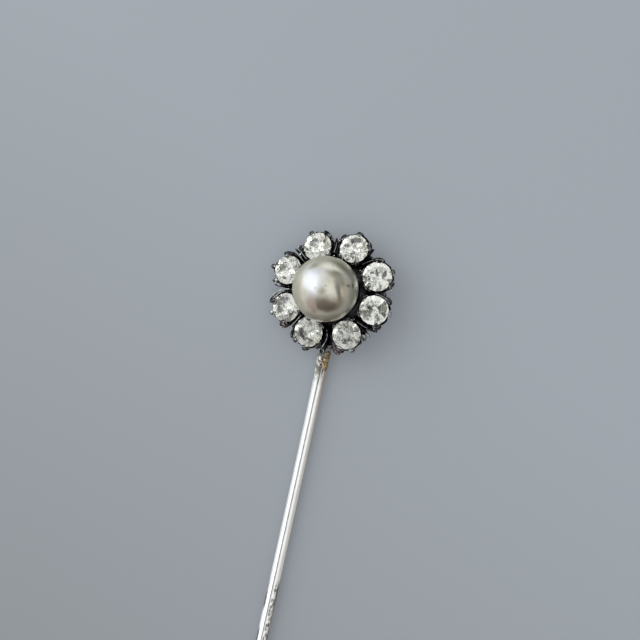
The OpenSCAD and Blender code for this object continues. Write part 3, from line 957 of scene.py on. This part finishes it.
def painted_eye_line_and_tool_marks(a, turn):
    """The mask of the painted eye line and the tool marks, and their relief, at a place along and round
    the wire.
    """
    across = math.sin(turn)
    # A painted reflection of the eye: a thin dark line, over a fine groove in the relief.
    near = (turn + 0.10 + 0.035 * wave(a * 1.1, 0, 7) + 0.02 * wave(a * 4.3, 5, 0)) / EYE_LINE_HALF
    line = math.exp(-near * near * 1.4) * (0.98 + 0.4 * wave(a * 2.1, 1, 1))
    tooled = clamp((a - TOOLED[0]) / 0.8) * clamp((TOOLED[1] - a) / 3)
    nick = wave(a * 2.6, turn * 2.2, 3) + 0.5 * wave(a * 6.0 + turn * 2, turn * 5, 8)
    cut = tooled * clamp((across - 0.02) / 0.25) * clamp(0.3 + nick * 3.2)
    broken = clamp(0.9 + 2.5 * wave(a * 0.35, 9 if turn < 0 else 3, 6))
    side_line = tooled * broken * clamp(1.8 - abs(abs(turn) - SIDE_AT) / SIDE_HALF)
    lift = 0.035 * tooled * across ** 4 - 0.03 * cut - 0.012 * line
    return clamp(max(line, 0.9 * cut, side_line)), lift


def on_wire(a, turn):
    """All masks of the wire and its whole relief at that place."""
    across = math.sin(turn)
    painted_eye_line_and_marks, lift = painted_eye_line_and_tool_marks(a, turn)
    ragged = 0.12 * wave(a * 1.7, turn, 4)
    tin_end = TIN_ENDS["right" if across > -0.05 else "left"]
    masks = {
        "painted_eye_line_and_marks": painted_eye_line_and_marks,
        # The tan of the right side is painted shade.
        "tan": clamp((across - 0.42 + ragged) / 0.4) * 0.9,
        "near_head": math.exp(-max(0.0, a - TAN_FADES) / 6),
        "tin": clamp((tin_end - a) / 1.4 + 2.2 * ragged),
        "frost": clamp((-across - 0.58 + ragged) / 0.25) * 0.9}
    coat = math.exp(-max(0.0, a - COAT_FADES) / 3.5) * clamp((a + 3) / 3)
    swell = (0.11 * clamp(-across) + 0.03 * clamp(across)) * abs(across) * coat
    return masks, lift + swell + 0.004 * wave(a * 0.5, turn, 2)


def stem():
    along = [-STEM_LAP, -STEM_LAP + 0.05] + [k * 0.25 - 3.0 for k in range(137)]
    along += [31.25 + k * 0.1 for k in range(150)] + [46.25 + k * 0.25 for k in range(63)]
    along = sorted(set(along + [STEM_REACH - 0.03, STEM_REACH]))
    stations = []
    for a in along:
        wide = 2 * stem_radius(a) * (0.8 if a in (-STEM_LAP, STEM_REACH) else 1.0)
        stations.append(disc((STEM_U, -a, STEM_W), ALONG_STEM, wide, wide))
    bm = bmesh.new()
    grow(bm, stations, SIDES)
    attributes = {name: [] for name in ("painted_eye_line_and_marks", "tan", "near_head", "tin", "frost")}
    for v in bm.verts:
        turn = math.atan2(v.co.x - STEM_U, v.co.z - STEM_W) - EYE_TURN
        masks, lift = on_wire(-v.co.y, turn)
        for name, values in attributes.items():
            values.append(masks[name])
        v.co.x += math.sin(turn + EYE_TURN) * lift
        v.co.z += math.cos(turn + EYE_TURN) * lift
    add_piece("stem_wire", bm, HEAD, [bright], "setting_and_stem", attributes)


stem()

# %% [markdown]
# Solder has run from the plate's rim down the right side of the stem. It starts as a thin
# wedge against the rim, spreads over half of the wire and stops in a ragged edge. A bright drop
# of it sits on the left side. A table gives for each station how far it lies to the right, how far
# down the stem, how wide and how thick it is. Crumbs of burnt flux have stayed along its edges.

# %% Solder on the stem
RUN = [(0.58, 6.2, 0.10, 0.40), (0.56, 6.4, 0.26, 0.62), (0.46, 6.8, 0.42, 0.76),
       (0.36, 7.2, 0.62, 0.82), (0.32, 7.6, 0.72, 0.86), (0.33, 8.0, 0.70, 0.84),
       (0.38, 8.3, 0.54, 0.72), (0.42, 8.46, 0.24, 0.44)]
DROP = [(-0.20, 7.1, 0.10, 0.12), (-0.20, 7.16, 0.22, 0.24), (-0.20, 7.32, 0.26, 0.28),
        (-0.21, 7.46, 0.22, 0.22), (-0.21, 7.54, 0.08, 0.1)]
CRUMBS = [(0.02, 7.35, 0.16), (-0.02, 7.62, 0.13), (0.0, 7.9, 0.16), (-0.06, 8.15, 0.13),
          (0.56, 8.2, 0.22), (0.62, 7.95, 0.16), (0.0, 8.5, 0.10)]
CRUMBS_R = 0.62  # distance of the crumbs from the wire's middle


def solder_on_stem(name, table, rise, finish, rough):
    """A flow of solder through the stations of a table, raised above the wire's middle."""
    bm = bmesh.new()
    grow(bm, [disc((STEM_U + shift, -along, STEM_W + rise), ALONG_STEM, width, depth)
              for shift, along, width, depth in table], 10)
    bm = smoothed(bm, 3)
    hand_made(bm, rough, 0.3, 2.0)
    hand_made(bm, rough * 0.4, 0.1, 6.0)
    add_piece(name, bm, HEAD, [finish], "setting_and_stem", {"wear": edge_wear(bm, 0.2)})


def flux_crumbs():
    """Black specks on the wire."""
    bm = bmesh.new()
    for shift, along, size in CRUMBS:
        height = math.sqrt(max(0.0, CRUMBS_R ** 2 - shift ** 2)) - 0.03
        bmesh.ops.create_icosphere(
            bm, subdivisions=3, radius=size / 2,
            matrix=Matrix.Translation((STEM_U + shift, -along, STEM_W + height)))
    hand_made(bm, 0.05, 0.12, 31.0)
    add_silver("flux_crumbs", bm, HEAD)


solder_on_stem("solder_run", RUN, 0.20, solder, 0.09)
solder_on_stem("solder_drop", DROP, 0.46, bright, 0.01)
flux_crumbs()

# %% [markdown]
# The studio is plain: a pale floor under the pin, a wide soft light at the upper left, and
# a sky that is bright on that side and dimmer and warmer on the other. The floor glows faintly, which
# keeps the shadow soft.

# %% Floor
FLOOR_Z = -0.00008  # just below the lowest foot of the collets


def show(name, bm, material):
    """Puts up a part of the studio."""
    thing = new_object(name, bm, [material])
    return thing


pale, tree, shader = start_finish(
    "pale floor", Roughness=0.9, Emission_Color=(0.285, 0.31, 0.335, 1), Emission_Strength=0.35)
# Painted shade: the floor's colour darkens across the view in one direction.
downhill = put(tree, "ShaderNodeVectorMath", {0: here(tree), 1: (-8.0, -17.0, 0.0)},
               operation="DOT_PRODUCT")
floor_painted_shade = put(tree, "ShaderNodeMapRange", {
    "Value": downhill.outputs["Value"], "From Min": -0.6, "From Max": 0.6})
tree.links.new(blend(tree, floor_painted_shade.outputs[0], (0.20, 0.22, 0.235, 1), (0.135, 0.142, 0.148, 1)),
               shader.inputs["Base Color"])
bm = bmesh.new()
bmesh.ops.create_grid(bm, x_segments=1, y_segments=1, size=1.5,
                      matrix=Matrix.Translation((0, 0, FLOOR_Z)))
show("floor", bm, pale)
print(f"floor at {FLOOR_Z / MM:.2f} mm")

# %% Light
world = bpy.data.worlds.new("sky")
bpy.context.scene.world = world
world.use_nodes = True
tree = world.node_tree
toward_light = Vector((-0.80, 0.22, 0.55)).normalized()
facing = put(tree, "ShaderNodeVectorMath", {
    0: put(tree, "ShaderNodeTexCoord").outputs["Generated"], 1: toward_light},
    operation="DOT_PRODUCT")
sky = blend(tree, soft_step(tree, facing.outputs["Value"], -0.75, 0.1),
            (0.52, 0.47, 0.40, 1), (1.03, 1.05, 1.10, 1))
tree.links.new(sky, tree.nodes["Background"].inputs["Color"])


def soft_light(name, direction, distance, width, height, radiance):
    """An area light that faces the pin; its power follows from the radiance it should show."""
    light = bpy.data.lights.new(name, "AREA")
    light.shape = "ELLIPSE"
    light.size, light.size_y = width, height
    light.energy = radiance * math.pi * math.pi / 4 * width * height
    lamp = bpy.data.objects.new(name, light)
    bpy.context.scene.collection.objects.link(lamp)
    direction = Vector(direction).normalized()
    lamp.location = head_middle + direction * distance
    lamp.rotation_euler = direction.to_track_quat("Z", "Y").to_euler()
    print(f"light {name}: {light.energy:.2f} W from {distance} m")


soft_light("key", (-0.769, 0.215, 0.602), 0.35, 0.36, 0.44, 1.55)
bpy.context.scene.view_settings.view_transform = "Standard"

# %% [markdown]
# Polished metal seen from above shows the one who looks at it, so a dark card stands behind the
# camera. Only reflections see it.

# %% Dark card
CARD_W, CARD_H = 0.03, 0.11
CARD_DOWN = 0.02  # how far its middle hangs below the line of sight

dark, tree, shader = start_finish("dark card", Roughness=0.8, Base_Color=(0.05, 0.042, 0.036, 1))
bm = bmesh.new()
bmesh.ops.create_grid(bm, x_segments=1, y_segments=1, size=0.5,
                      matrix=Matrix.Diagonal((CARD_W, CARD_H, 1, 1)))
eye = aim + FORWARD * (DISTANCE + 0.01)
bmesh.ops.transform(bm, matrix=Matrix.Translation(eye - up * CARD_DOWN) @ towards(-FORWARD),
                    verts=bm.verts)
card = show("eye_card", bm, dark)
card.visible_camera = card.visible_diffuse = card.visible_shadow = False
print(f"card of {CARD_W / MM:.0f} by {CARD_H / MM:.0f} mm, seen in reflections alone")
